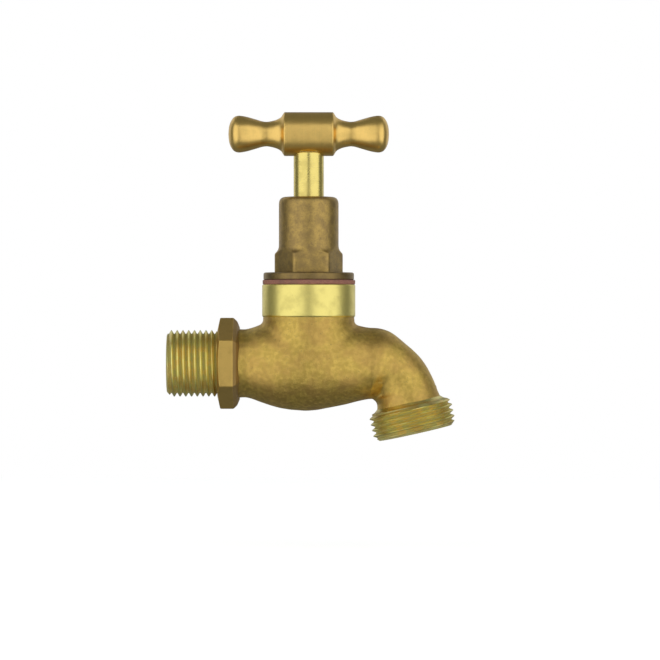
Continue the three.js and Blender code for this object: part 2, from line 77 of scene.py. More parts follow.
def patch(x, y, z, shade=0.0, climb=0):
    """One grid as points and quads. Row i of the last column joins row i + climb of the first."""
    x, y, z, shade = np.broadcast_arrays(x, y, z, shade)
    rows, columns = x.shape
    points = np.stack([x, y, z, shade], axis=-1).reshape(-1, 4)
    i, j = np.meshgrid(np.arange(rows - 1), np.arange(columns), indexing="ij")
    wraps = j + 1 == columns
    step = np.where(wraps, climb, 0)
    beside = np.where(wraps, 0, j + 1)
    low = np.minimum(i + step, rows - 1) * columns + beside
    high = np.minimum(i + 1 + step, rows - 1) * columns + beside
    quads = np.stack([i * columns + j, low, high, (i + 1) * columns + j], axis=-1)
    return points, quads.reshape(-1, 4)


def stitched(*patches):
    """All the patches as one list of points and one of faces, with points in the same place made one."""
    starts = np.cumsum([0] + [len(points) for points, _ in patches])
    points = np.concatenate([points for points, _ in patches])
    quads = np.concatenate([quads + start for (_, quads), start in zip(patches, starts)])
    cells = np.round(points[:, :3] / SAME_PLACE).astype(np.int64)
    _, first, inverse = np.unique(cells, axis=0, return_index=True, return_inverse=True)
    quads = inverse.reshape(-1)[quads]
    repeats = quads == np.roll(quads, -1, axis=1)
    lost = repeats.sum(axis=1)
    faces = quads[(lost == 0) & (quads[:, 0] != quads[:, 2]) & (quads[:, 1] != quads[:, 3])].tolist()
    for corner in range(4):
        faces += np.delete(quads[(lost == 1) & repeats[:, corner]], corner, axis=1).tolist()
    return points[first], faces


def volume_of(mesh):
    """The enclosed volume: a sixth of the sum, over the triangles, of a . (b x c)."""
    mesh.calc_loop_triangles()
    corners = np.empty(3 * len(mesh.loop_triangles), dtype=np.int32)
    mesh.loop_triangles.foreach_get("vertices", corners)
    place = np.empty(3 * len(mesh.vertices))
    mesh.vertices.foreach_get("co", place)
    a, b, c = np.moveaxis(place.reshape(-1, 3)[corners.reshape(-1, 3)], 1, 0)
    return float(np.einsum("ij,ij->i", a, np.cross(b, c)).sum() / 6)


def open_edges(mesh):
    """How many edges don't have exactly two faces: 0 on a closed surface."""
    edges = np.empty(len(mesh.loops), dtype=np.int32)
    mesh.loops.foreach_get("edge_index", edges)
    return int((np.bincount(edges, minlength=len(mesh.edges)) != 2).sum())


def solid(name, *patches):
    """A closed object from patches, its faces turned outward if the enclosed volume came out negative."""
    points, faces = stitched(*patches)
    mesh = bpy.data.meshes.new(name)
    mesh.from_pydata(points[:, :3] * MM, [], faces)
    depth = mesh.attributes.new("depth", "FLOAT", "POINT")
    depth.data.foreach_set("value", points[:, 3].astype(np.float32))
    if volume_of(mesh) < 0:
        mesh.flip_normals()
    made = bpy.data.objects.new(name, mesh)
    bpy.context.scene.collection.objects.link(made)
    return made


def cut(made, *cutters):
    """Takes each cutter's solid away, then throws the cutter out."""
    for cutter in cutters:
        hole = made.modifiers.new("cut", "BOOLEAN")
        hole.operation = "DIFFERENCE"
        hole.solver = "MANIFOLD"
        hole.object = cutter
    graph = bpy.context.evaluated_depsgraph_get()
    mesh = bpy.data.meshes.new_from_object(made.evaluated_get(graph))
    made.modifiers.clear()
    made.data = mesh
    for cutter in cutters:
        bpy.data.objects.remove(cutter)
    return made


def finished(made, body, stands_for, slot, *finishes, crease=32.0):
    """Shades a piece, gives it its finish, ties it to its body, and hides the imported node that it stands
    for.
    """
    mesh = made.data
    mesh.shade_smooth()
    mesh.set_sharp_from_angle(angle=math.radians(crease))
    mesh.materials.clear()
    for finish in finishes:
        mesh.materials.append(finish)
    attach(made, body)
    if stands_for:
        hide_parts(stands_for)
    facts = (made.name, len(mesh.polygons), open_edges(mesh), volume_of(mesh) / MM**3)
    print("%s: %d faces, %d open edges, %.1f mm3" % facts)
    return made


# %% [markdown]
# ## Two ways to place a profile
# Most of a tap is turned, so most pieces are a profile carried round an axis. A profile is a list of
# corners, and real corners are never sharp, so each corner can be given a small radius. The profile is
# then a fine line, and sweeping it round Z or X is one formula for the whole grid.

# %% Profiles, turning and blending
def angles(columns):
    """Equal steps round a full turn, as one row."""
    return (2 * np.pi / columns * np.arange(columns))[None, :]


def eased(corners, arc=5):
    """A line through (along, radius, rounding) corners, each cut back by its rounding and bridged by a
    quadratic curve: (1-t)^2 * start + 2t(1-t) * corner + t^2 * end."""
    spots = np.array([(a, r) for a, r, *_ in corners], dtype=float)
    wanted = np.array([rest[0] if rest else 0.0 for _, _, *rest in corners])
    t = np.linspace(0, 1, arc)[:, None]
    line = [spots[:1]]
    for k in range(1, len(spots) - 1):
        back, ahead = spots[k - 1] - spots[k], spots[k + 1] - spots[k]
        reach = [min(wanted[k], 0.49 * np.hypot(*leg)) / np.hypot(*leg) for leg in (back, ahead)]
        if wanted[k] == 0:
            line.append(spots[k : k + 1])
            continue
        start, end = spots[k] + back * reach[0], spots[k] + ahead * reach[1]
        line.append((1 - t) ** 2 * start + 2 * t * (1 - t) * spots[k] + t**2 * end)
    line.append(spots[-1:])
    return np.concatenate(line)


def filled(line, longest=0.5):
    """The same line with more points, so that none of its steps is longer than the longest allowed."""
    gaps = np.hypot(*np.diff(line, axis=0).T)
    extra = np.maximum(1, np.ceil(gaps / longest)).astype(int)
    whole = np.concatenate([np.arange(n) / n + k for k, n in enumerate(extra)] + [[len(extra)]])
    return np.stack([np.interp(whole, np.arange(len(line)), line[:, c]) for c in (0, 1)], axis=1)


def about_z(line, columns=128, x=0.0, radius=None, shade=0.0):
    """Carries (height, radius) points round a vertical axis: x + r cos v, r sin v, h."""
    v = angles(columns)
    h = line[:, :1]
    r = line[:, 1:] if radius is None else radius(h, line[:, 1:], v)
    return patch(x + r * np.cos(v), r * np.sin(v), h + 0 * v, shade)


def about_x(line, columns=128, radius=None, shade=0.0, x=0.0, z=0.0):
    """Carries (distance, radius) points round a level axis: x + d, r cos v, z + r sin v."""
    v = angles(columns)
    d = line[:, :1]
    r = line[:, 1:] if radius is None else radius(d, line[:, 1:], v)
    return patch(x + d + 0 * v, r * np.cos(v), z + r * np.sin(v), shade)


def soft_least(a, b, width):
    """The smaller of a and b, with the crossing rounded over the given width: mix(b, a, h) less
    width * h(1-h), where h goes from 0 to 1 as b - a goes from -width to +width."""
    h = np.clip(0.5 + 0.5 * (b - a) / width, 0, 1)
    return b + (a - b) * h - width * h * (1 - h)


def hexagon(across_flats, v, turn=0.0):
    """The distance from a hexagon's middle to its side at angle v: half the flats over the cosine of the
    angle from the nearest flat's middle."""
    sixth = np.pi / 3
    off = np.mod(v - turn + sixth / 2, sixth) - sixth / 2
    return across_flats / 2 / np.cos(off)


# %% [markdown]
# ## Screw threads
# A thread could be faked with rings, but a hose thread is the first thing that a plumber looks at, and
# rings show at its ends. On a true helix, the rows of the grid climb one pitch in a turn, and the last
# column meets the first one pitch up, which is what the patch's climb is for. The crest and root are
# rounded, as a die leaves them. Rows that would pass an end plane are held on it, where they merge.

# %% The thread surface
def thread_form(turns):
    """Height in the thread, 0 at the root and 1 at the crest: a triangle wave, stretched past its ends and
    smoothed, so that crest and root are both a little flat."""
    ramp = 1 - np.abs(2 * np.mod(turns, 1) - 1)
    stretched = np.clip(1.16 * ramp - 0.08, 0, 1)
    return 0.45 * stretched + 0.55 * stretched**2 * (3 - 2 * stretched)


def helix(root, crest, pitch, start, end, limit=None, columns=144, per_pitch=12):
    """Distance along, radius and depth of a thread from start to end: the row k of column v lies at
    pitch * (k / per_pitch + v / 2pi), and the limit cuts its crests down near the ends."""
    v = angles(columns)
    first = math.floor(start / pitch) - 1
    turns = math.ceil(end / pitch) + 1 - first
    k = np.arange(per_pitch * turns + 1)[:, None] / per_pitch + first
    along = pitch * (k + v / (2 * np.pi))
    radius = root + (crest - root) * thread_form(k + 0 * v)
    along = np.clip(along, start, end)
    if limit is not None:
        radius = np.minimum(radius, np.interp(along, *limit))
    at_end = (along <= start) | (along >= end)
    radius = np.where(at_end, root if limit is None else np.interp(along, *limit), radius)
    return along, radius, 1 - (radius - root) / (crest - root), per_pitch


def thread_about_x(*args, **kwargs):
    along, radius, depth, climb = helix(*args, **kwargs)
    v = angles(along.shape[1])
    return patch(along, radius * np.cos(v), radius * np.sin(v), depth, climb)


def thread_about_z(*args, x=0.0, **kwargs):
    along, radius, depth, climb = helix(*args, **kwargs)
    v = angles(along.shape[1])
    return patch(x + radius * np.cos(v), radius * np.sin(v), along, depth, climb)


# %% [markdown]
# ## Writing shader maths as expressions
# A wire is an output socket in a material's node tree. Adding or multiplying wires adds Math nodes, so a
# mask can be written like a formula. Every other node comes from the same method: its kind, then its
# settings, then its inputs.

# %% The wire
class Wire:
    """One output socket of a node, written about as if it were a number."""

    def __init__(self, tree, socket=None):
        self.tree = tree
        self.socket = socket

    def node(self, kind, settings=None, inputs=None, output=0):
        """Adds a node, sets its settings, then its inputs' values or links, and gives one output."""
        made = self.tree.nodes.new("ShaderNode" + kind)
        for name, value in (settings or {}).items():
            if name == "stops":
                while len(made.color_ramp.elements) < len(value):
                    made.color_ramp.elements.new(0.5)
                for stop, (position, colour) in zip(made.color_ramp.elements, value):
                    stop.position, stop.color = position, (*colour, 1.0)
            else:
                setattr(made, name, value)
        for name, value in (inputs or {}).items():
            if isinstance(value, Wire):
                self.tree.links.new(value.socket, made.inputs[name])
            else:
                made.inputs[name].default_value = value
        return Wire(self.tree, made.outputs[output])

    def maths(self, operation, *terms):
        return self.node("Math", {"operation": operation}, dict(enumerate(terms)))

    def __add__(self, other):
        return self.maths("ADD", self, other)

    def __mul__(self, other):
        return self.maths("MULTIPLY", self, other)

    def __sub__(self, other):
        return self.maths("SUBTRACT", self, other)

    def __rsub__(self, other):
        return self.maths("SUBTRACT", other, self)

    __radd__ = __add__
    __rmul__ = __mul__

    def rise(self, low, high):
        """A smooth step: 0 below low, 1 above high."""
        settings = {"interpolation_type": "SMOOTHSTEP"}
        return self.node("MapRange", settings, {"Value": self, "From Min": low, "From Max": high})

    def noise(self, per_mm, detail=3.0, roughness=0.55):
        """A cloud pattern on this place in millimetres."""
        inputs = {"Vector": self, "Scale": per_mm, "Detail": detail, "Roughness": roughness}
        return self.node("TexNoise", None, inputs)

    def colour(self, low, high):
        """A colour between two, by this number."""
        inputs = {0: self, 6: (*low, 1.0) if isinstance(low, tuple) else low}
        inputs[7] = (*high, 1.0) if isinstance(high, tuple) else high
        return self.node("Mix", {"data_type": "RGBA", "clamp_factor": True}, inputs, 2)


def new_finish(name):
    """An empty material, and the place on the object in millimetres as a wire."""
    material = bpy.data.materials.new(name)
    material.use_nodes = True
    material.node_tree.nodes.clear()
    tree = Wire(material.node_tree)
    metres = tree.node("TexCoord", None, None, "Object")
    return material, metres.node("VectorMath", {"operation": "SCALE"}, {0: metres, "Scale": 1000.0})


def surface(place, height=None, relief_mm=0.02, **inputs):
    """Ends a material: a bump of so many millimetres, the Principled shader and the output."""
    names = {key.replace("_", " ").title(): value for key, value in inputs.items()}
    if height is not None:
        bump = {"Height": height, "Distance": relief_mm * MM, "Strength": 1.0}
        names["Normal"] = place.node("Bump", None, bump)
    shader = place.node("BsdfPrincipled", None, names, "BSDF")
    output = place.tree.nodes.new("ShaderNodeOutputMaterial")
    place.tree.links.new(shader.socket, output.inputs["Surface"])


# %% [markdown]
# ## Brass finishes
# One metal, several skins. The casting keeps the grain of the sand and a brown-gold mottle; the forging
# is duller and browner; whatever met a lathe is bright, with fine rings round its axis. A painted texture
# wrapped on the surface could give all of this, but noise and bands worked out at each point hold at any
# distance and need no unwrapping.

# %% Cast, forged and turned brass
def cast_brass():
    """Sand-cast and tumbled: gold grains a third of a millimetre wide on brown-gold, olive in pits."""
    material, place = new_finish("cast_brass_skin")
    blotch = place.noise(0.14, 4.0, 0.6).rise(0.38, 0.66)
    mottle = place.noise(0.75, 5.0, 0.65).rise(0.38, 0.64)
    grain = place.noise(2.6, 3.0, 0.6)
    pits = place.noise(1.5, 4.0, 0.7).rise(0.53, 0.72)
    gold = mottle.colour((0.53, 0.365, 0.085), (0.71, 0.50, 0.12))
    warm = (blotch * 0.45).colour(gold, (0.52, 0.30, 0.10))
    skin = (pits * 0.55).colour(warm, (0.23, 0.17, 0.055))
    height = grain * 0.6 + place.noise(6.5, 2.0) * 0.25 - pits * 0.45 + mottle * 0.3
    roughness = 0.36 + pits * 0.16 + grain * 0.14
    surface(place, height, 0.06, base_color=skin, roughness=roughness, metallic=1.0 - pits * 0.25)
    return material


def forged_brass():
    """Hot-forged: a dull scale over the gold, browner in places, with fine specks, and painted shade on
    the flange.
    """
    material, place = new_finish("forged_brass_skin")
    scale = place.noise(0.35, 5.0, 0.65).rise(0.35, 0.68)
    speck = place.noise(2.1, 4.0, 0.7).rise(0.5, 0.7)
    grain = place.noise(4.0, 3.0, 0.6)
    skin = scale.colour((0.33, 0.225, 0.085), (0.50, 0.34, 0.105))
    skin = (speck * 0.5).colour(skin, (0.17, 0.12, 0.055))
    # Painted shade: below the hexagon's foot the flange is mixed towards dark brown.
    level = place.node("SeparateXYZ", None, {"Vector": place}, "Z")
    flange_painted_shade = 1.0 - level.rise(*FLANGE_SHADE_BELOW)
    skin = (flange_painted_shade * 0.55).colour(skin, (0.12, 0.085, 0.045))
    height = grain * 0.5 + scale * 0.4 - speck * 0.3
    roughness = 0.33 + speck * 0.16 + grain * 0.12
    surface(place, height, 0.04, base_color=skin, roughness=roughness, metallic=1.0 - speck * 0.3)
    return material


def turned_brass(name, axis, light, dark, roughness=0.2, ring_mm=0.02, tarnish=0.25, middle=None):
    """Bright from the lathe: noise that changes only along the axis makes rings, and a thin tarnish. The
    middle, if given, is a painted reflection: its own colour within so many millimetres of the spindle's
    axis."""
    material, place = new_finish(name)
    along = place.node("SeparateXYZ", None, {"Vector": place}, "XYZ".index(axis))
    line = place.node("CombineXYZ", None, {"Z": along})
    rings = line.noise(3.2, 5.0, 0.75)
    smear = place.noise(0.22, 4.0, 0.6).rise(0.42, 0.7)
    spots = place.noise(1.4, 4.0, 0.7).rise(0.6, 0.75)
    metal = rings.colour(dark, light)
    if middle is not None:
        colour, reach = middle
        # Painted reflection: within the reach of the axis the colour is swapped for the middle's own.
        outside = (along - STEM_X).maths("ABSOLUTE").rise(reach - 0.25, reach + 0.25)
        metal = outside.colour(rings.colour(tuple(0.8 * c for c in colour), colour), metal)
    metal = (smear * tarnish + spots * tarnish).colour(metal, tuple(0.45 * c for c in dark))
    gloss = roughness + rings * 0.1 + smear * 0.08 + spots * 0.1
    surface(place, rings, ring_mm, base_color=metal, roughness=gloss, metallic=1.0)
    return material


def milled_hexagon():
    """Flats that keep a thin casting skin: brown-gold with fine lines, and painted shade, a dark brown, on
    the tapered back of the hexagon, which is where the piece's extra number is 1."""
    material, place = new_finish("milled_hexagon_skin")
    taper_painted_shade = place.node("Attribute", {"attribute_name": "depth"}, None, "Fac")
    lines = place.noise(3.2, 5.0, 0.75)
    smear = place.noise(0.22, 4.0, 0.6).rise(0.42, 0.7)
    flat = (smear * 0.25).colour(lines.colour((0.55, 0.37, 0.11), (0.70, 0.47, 0.13)), (0.25, 0.17, 0.05))
    # Painted shade: the tapered back of the hexagon is mixed towards dark brown.
    skin = (taper_painted_shade * 0.8).colour(flat, (0.20, 0.125, 0.045))
    gloss = 0.4 + lines * 0.1 + smear * 0.08
    surface(place, lines, 0.02, base_color=skin, roughness=gloss, metallic=1.0 - taper_painted_shade * 0.2)
    return material


def cut_thread():
    """A machined thread: bright crests, and a darker green-brown down in the roots, by depth and a patchy
    noise.
    """
    material, place = new_finish("cut_brass_thread")
    depth = place.node("Attribute", {"attribute_name": "depth"}, None, "Fac")
    patchy = place.noise(0.35, 4.0, 0.6).rise(0.35, 0.65)
    # Darker and greener down in the roots: the mix follows the thread's depth and a patchy noise.
    root_darkening = (depth * 0.9 + patchy * 0.35 - 0.35).rise(0.1, 0.8)
    metal = patchy.colour((0.80, 0.62, 0.22), (0.84, 0.78, 0.28))
    skin = (root_darkening * 0.62).colour(metal, (0.28, 0.25, 0.10))
    chatter = place.noise(5.0, 3.0, 0.6)
    gloss = 0.3 + root_darkening * 0.2 + chatter * 0.08
    surface(place, chatter, 0.02, base_color=skin, roughness=gloss, metallic=1.0 - root_darkening * 0.3)
    return material


STEM_X = 44.6
BARREL_EDGE = 8.1
# Heights over which the painted shade on the bonnet's flange fades out.
FLANGE_SHADE_BELOW = (28.3, 29.1)
CAST = cast_brass()
FORGED = forged_brass()
THREAD = cut_thread()
STEM = turned_brass("turned_stem", "Z", (0.95, 0.80, 0.27), (0.80, 0.62, 0.18))
BOSS = turned_brass("faced_boss", "Z", (0.95, 0.83, 0.28), (0.85, 0.71, 0.21), 0.28)
# Painted reflection on the handle's barrel: a more orange colour near the spindle.
BARREL_PAINTED_REFLECTION = ((0.98, 0.66, 0.20), BARREL_EDGE)
HANDLE = turned_brass(
    "turned_handle", "X", (0.96, 0.78, 0.27), (0.84, 0.64, 0.19), 0.26, 0.05, middle=BARREL_PAINTED_REFLECTION
)
HEX_FLAT = milled_hexagon()
print("brass finishes:", [m.name for m in (CAST, FORGED, THREAD, STEM, BOSS, HANDLE, HEX_FLAT)])

# %% [markdown]
# ## Washers, seals and steel
# Vulcanised fibre is paper soaked and pressed hard: red-brown, matt, with short paler hairs. The rubber
# is nearly black with a bloom, PTFE is waxy white, and the screw and clip are plain steel.

# %% Soft and steel finishes
def fibre_board():
    material, place = new_finish("red_fibre_board")
    stretched = place.node("VectorMath", {"operation": "MULTIPLY"}, {0: place, 1: (1.0, 1.0, 5.0)})
    hairs = stretched.noise(1.7, 5.0, 0.75)
    stain = place.noise(0.3, 3.0).rise(0.4, 0.65)
    red = hairs.rise(0.35, 0.65).colour((0.16, 0.050, 0.040), (0.34, 0.155, 0.095))
    skin = (stain * 0.5).colour(red, (0.14, 0.07, 0.045))
    surface(place, hairs, 0.06, base_color=skin, roughness=0.62 + hairs * 0.2, metallic=0.0)
    return material


def moulded(name, colour, roughness, relief_mm=0.02):
    material, place = new_finish(name)
    cloud = place.noise(0.8, 4.0, 0.6)
    skin = cloud.colour(tuple(0.8 * c for c in colour), tuple(min(1.0, 1.25 * c) for c in colour))
    gloss = roughness + cloud * 0.15
    surface(place, place.noise(4.0), relief_mm, base_color=skin, roughness=gloss, metallic=0.0)
    return material


def bright_steel():
    material, place = new_finish("spring_steel")
    cloud = place.noise(1.2, 4.0, 0.6)
    skin = cloud.colour((0.30, 0.29, 0.28), (0.52, 0.51, 0.49))
    surface(place, place.noise(6.0), 0.01, base_color=skin, roughness=0.25 + cloud * 0.2, metallic=1.0)
    return material


FIBRE = fibre_board()
RUBBER = moulded("black_rubber", (0.016, 0.016, 0.017), 0.55)
PTFE = moulded("white_ptfe", (0.80, 0.79, 0.75), 0.38)
STEEL = bright_steel()

# %% [markdown]
# ## The casting
# The body is cast round a sand core, so its skin is one flowing surface: a neck, a belly, an elbow and a
# short spout, with a boss rising out of the belly. Joining solids would leave creases that a foundry
# would never leave, so the skin is found by looking: from each point on the centreline, a ray goes out
# at each angle until it leaves the soft union of belly, boss and crotch web, whose blends are the
# casting's fillets.

# %% The casting's sizes and its centreline
ELBOW_X = 63.8
BEND = 11.9
LEAN = math.radians(12.6)
BEND_ANGLE = math.pi / 2 - LEAN
STRAIGHT = 12.9
RUN_CLOSES = 0.3
CROTCH_WIDTH = 3.4
BOSS_RADIUS = 14.35
BOSS_HEAD = 17.0
BOSS_FILLET = 1.6
SPOUT_START = ELBOW_X + BEND * BEND_ANGLE
SPINE_END = SPOUT_START + STRAIGHT
SPOUT_END = np.array([
    ELBOW_X + BEND * math.sin(BEND_ANGLE) + STRAIGHT * math.cos(BEND_ANGLE),
    -BEND * (1 - math.cos(BEND_ANGLE)) - STRAIGHT * math.sin(BEND_ANGLE),
])
HOSE_BORE_DEPTH = 9.0
BELLY = np.array([
    [11.0, 8.6], [21.0, 8.6], [22.0, 10.9], [23.3, 10.75], [24.8, 10.7], [26.8, 11.25], [29.0, 12.15],
    [31.8, 13.1], [35.3, 14.1], [39.0, 14.75], [43.5, 15.0], [47.5, 14.7], [51.3, 14.05], [55.8, 13.05],
    [59.5, 12.15], [63.0, 11.4], [65.0, 11.2],
])
SPOUT_WALL = np.array([
    [0.0, 11.3], [1.6, 11.25], [3.4, 10.9], [5.2, 10.0], [6.8, 9.4], [8.5, 9.2], [11.0, 9.15],
    [13.2, 9.15], [14.6, 9.3], [16.6, 9.65], [18.0, 9.9], [20.0, 10.45], [24.0, 10.9],
])


def centreline(s):
    """The spine at distance s from the inlet's face: its x and z, and the way it faces. It runs level,
    turns through an arc about a point below, then goes straight down the spout."""
    turned = np.clip((s - ELBOW_X) / BEND, 0, BEND_ANGLE)
    rest = np.maximum(s - SPOUT_START, 0)
    x = np.minimum(s, ELBOW_X) + BEND * np.sin(turned) + rest * np.cos(turned)
    z = -BEND * (1 - np.cos(turned)) - rest * np.sin(turned)
    return x, z, turned


def smoothed(outline, at, reach=1.6):
    """An outline of straight steps, averaged over twice the reach with a bell-shaped weight."""
    offsets = np.linspace(-reach, reach, 17)
    weight = np.cos(np.pi * offsets / (2 * reach)) ** 2
    return sum(w * np.interp(at + o, *outline.T) for w, o in zip(weight / weight.sum(), offsets))


print("spout end face at x %.2f, z %.2f mm" % tuple(SPOUT_END))


# %% [markdown]
# The distance to each solid is a formula. The run is a turned shape about X. The spout is a tube round an
# arc and then round a straight line, wider again towards its collar. The boss is an upright cylinder.
# Where the run and the straight part of the spout meet underneath, in the crotch, the two are blended
# widely, as the pattern maker filled that corner with wax. The bend between them is joined on as it is,
# because at the top of the elbow all of them already meet smoothly.

# %% The casting's skin
def run_distance(x, y, z):
    """Distance to the level run, which closes past the elbow: gently underneath, fast further up."""
    closing = RUN_CLOSES + 0.5 * np.maximum(z + 6.0, 0)
    return np.hypot(y, z) - smoothed(BELLY, np.minimum(x, ELBOW_X)) + closing * np.maximum(x - ELBOW_X, 0)


def bend_distance(x, y, z):
    """Distance to the bent tube: the nearest point of its line is at the same angle about the arc's
    middle. Past either end of the arc it grows steeply."""
    turned = np.arctan2(x - ELBOW_X, z + BEND)
    held = np.clip(turned, 0, BEND_ANGLE)
    off = np.hypot(x - ELBOW_X, z + BEND) - BEND
    return np.hypot(y, off) - smoothed(SPOUT_WALL, BEND * held, 1.0) + 12 * np.abs(turned - held)


def straight_distance(x, y, z):
    """Distance to the spout's straight part, measured straight across it."""
    down = (x - SPOUT_END[0]) * math.sin(LEAN) - (z - SPOUT_END[1]) * math.cos(LEAN) + STRAIGHT
    across = (x - SPOUT_END[0]) * math.cos(LEAN) + (z - SPOUT_END[1]) * math.sin(LEAN)
    wall = smoothed(SPOUT_WALL, BEND * BEND_ANGLE + np.maximum(down, 0), 1.0)
    return np.hypot(y, across) - wall + np.maximum(-down, 0)


def skin_distance(x, y, z):
    """How far a point lies outside the soft union of run, spout and boss, roughly: below 0 inside."""
    web = soft_least(run_distance(x, y, z), straight_distance(x, y, z), CROTCH_WIDTH)
    length = np.minimum(web, bend_distance(x, y, z))
    boss = np.hypot(x - STEM_X, y) - BOSS_RADIUS + 0.04 * np.maximum(8.0 - z, 0) ** 2
    return soft_least(length, np.maximum(boss, z - BOSS_HEAD), BOSS_FILLET)


def casting_skin(columns=200, step=0.36):
    """Rays from the spine, in planes that are square to the run and then fan out about a pivot below the
    crotch. A point is spine + t * (across * cos v + up * sin v), and t grows by the distance still inside
    until the skin is met. Rows lie closer where the boss stands upright. Slow waves of a few hundredths
    of a millimetre stand for a sand mould's unevenness."""
    end = SPINE_END - HOSE_BORE_DEPTH
    upright = np.arange(13.6, 14.8, 0.08)
    rows = [[12.0, 20.5], np.arange(21.0, end, step), [end], STEM_X - upright, STEM_X + upright]
    s = np.unique(np.concatenate(rows))
    x0, z0, turned = centreline(s)
    pivot = 13.9
    pivot_x = x0[-1] - pivot * math.cos(LEAN)
    pivot_z = z0[-1] - pivot * math.sin(LEAN)
    fan = np.where(x0 > pivot_x, np.arctan2(x0 - pivot_x, z0 - pivot_z), 0.0)
    x0, z0, fan = (a[:, None] for a in (x0, z0, fan))
    v = angles(columns)

    def spots(t):
        out = t * np.sin(v)
        return x0 + out * np.sin(fan), t * np.cos(v), z0 + out * np.cos(fan)

    t = np.full((len(s), columns), 6.0)
    for _ in range(80):
        t = t - 0.7 * skin_distance(*spots(t))
    x, y, z = spots(t)
    waves = 0.035 * np.sin(0.55 * x + 1.3) * np.cos(0.62 * y) + 0.03 * np.sin(0.8 * z + 0.45 * x)
    x, y, z = spots(np.where(s[:, None] < 21.0, 8.6, t - 0.07 + waves))

    def capped(a):
        first, last = a[:1], a[-1:]
        return np.concatenate([first * 0 + first.mean(), a, last * 0 + last.mean()])

    return patch(capped(x), capped(y), capped(z))


# %% [markdown]
# The waterways are solids of their own, and are taken away from the skin: down under the seat, up
# through it, and from the chamber above over the bridge wall and out. Nobody sees the seat, but a look
# up the spout or into the inlet should find a real passage.

# %% The waterways
def tube_along(path, radius, columns=72, rows=40):
    """A round tube along a smooth line through (x, z) points: a point is line + r * (across * cos v +
    normal * sin v), closed by a pole at each end."""
    spots = np.array(path, dtype=float)
    along = np.concatenate([[0], np.cumsum(np.hypot(*np.diff(spots, axis=0).T))])
    fine = np.linspace(0, along[-1], rows)
    spread = np.exp(-((fine[:, None] - np.linspace(0, along[-1], 200)) ** 2) / 4.0)
    raw = np.stack([np.interp(np.linspace(0, along[-1], 200), along, c) for c in spots.T], axis=1)
    line = (spread @ raw) / spread.sum(axis=1)[:, None]
    way = np.gradient(line, axis=0)
    way /= np.hypot(*way.T)[:, None]
    v = angles(columns)
    r = np.concatenate([[0], np.full(rows, radius), [0]])[:, None]
    x, z = (np.concatenate([c[:1], c, c[-1:]])[:, None] for c in line.T)
    way_x, way_z = (np.concatenate([c[:1], c, c[-1:]])[:, None] for c in way.T)
    return patch(x - r * np.sin(v) * way_z, r * np.cos(v), z + r * np.sin(v) * way_x)


def spout_way(radius, start, columns=96):
    """The bore that follows the body's own centreline from start to the hose end."""
    end = SPINE_END + 1
    s = np.concatenate([[start], np.arange(start, end, 0.8), [end, end]])
    x0, z0, turned = (a[:, None] for a in centreline(s))
    r = np.where((np.arange(len(s)) == 0) | (np.arange(len(s)) == len(s) - 1), 0.0, radius)[:, None]
    v = angles(columns)
    return patch(x0 + r * np.sin(v) * np.sin(turned), r * np.cos(v), z0 + r * np.sin(v) * np.cos(turned))


INLET_BORE = 7.0
CHAMBER = 10.5
SEAT_TOP = 3.2
SEAT_BORE = 5.5
SEAT_LIP = 7.2
BONNET_BORE = 11.8
casting = solid("tap_casting", casting_skin())
chamber = np.array([
    [1.4, 0], [1.4, SEAT_BORE], [SEAT_TOP, SEAT_BORE], [SEAT_TOP, SEAT_LIP], [2.0, SEAT_LIP],
    [2.0, CHAMBER], [13.6, CHAMBER], [13.6, BONNET_BORE], [18, BONNET_BORE], [18, 0],
])
seat_bore = np.array([[-6, 0], [-6, SEAT_BORE], [2.5, SEAT_BORE], [2.5, 0]])
inlet_bore = np.array([[5, 0], [5, INLET_BORE], [17, INLET_BORE], [17, 0]])
cut(
    casting,
    solid("inlet", about_x(inlet_bore, 144)),
    solid("under", tube_along([(14, 0), (20, -1), (27, -3.5), (35, -6), (42, -6.3), (49, -6.2)], 5.8)),
    solid("seat", about_z(seat_bore, 96, STEM_X)),
    solid("chamber", about_z(chamber, 128, STEM_X)),
    solid("over", tube_along([(54.6, 8), (57, 5.6), (61, 2), (66, -1)], 6.0)),
    solid("out", spout_way(7.2, 61.3)),
)
finished(casting, "body", "tap_body", "cast_brass", CAST)

# %% [markdown]
# ## The two pipe threads
# Both are parallel pipe threads, 14 to the inch, the larger one for the hose. Each is a sleeve: the
# helix outside, the bore inside, and a chamfer at the open end where the first crest fades in.

# %% Inlet and hose threads
PIPE_PITCH = 1.814
PIPE_DEPTH = 1.162
INLET_CREST = 20.955 / 2
INLET_END = 16.6
HOSE_CREST = 26.441 / 2
HOSE_LENGTH = 8.6
HOSE_BORE = 9.5


def inlet_thread():
    """The helix from the end face to inside the hexagon, then back along the bore."""
    root = INLET_CREST - PIPE_DEPTH
    limit = ([0, 1.3, 15.2, INLET_END], [root - 0.25, INLET_CREST, INLET_CREST, root])
    outside = thread_about_x(root, INLET_CREST, PIPE_PITCH, 0.0, INLET_END, limit)
    corners = [
        (INLET_END, root), (INLET_END, 8.0), (12.0, 8.0), (12.0, INLET_BORE), (0.0, INLET_BORE, 0.5),
        (0.0, root - 0.25),
    ]
    inside = about_x(filled(eased(corners), 1.0), 144)
    return outside, inside


def onto_spout(points_and_quads):
    """Leans a patch made round Z, its end at height 0, and carries it to the spout's end face."""
    points, quads = points_and_quads
    c, s = math.cos(LEAN), math.sin(LEAN)
    turn = np.array([[c, 0, -s], [0, 1, 0], [s, 0, c]])
    moved = points.copy()
    moved[:, :3] = points[:, :3] @ turn.T + np.array([SPOUT_END[0], 0, SPOUT_END[1]])
    return moved, quads


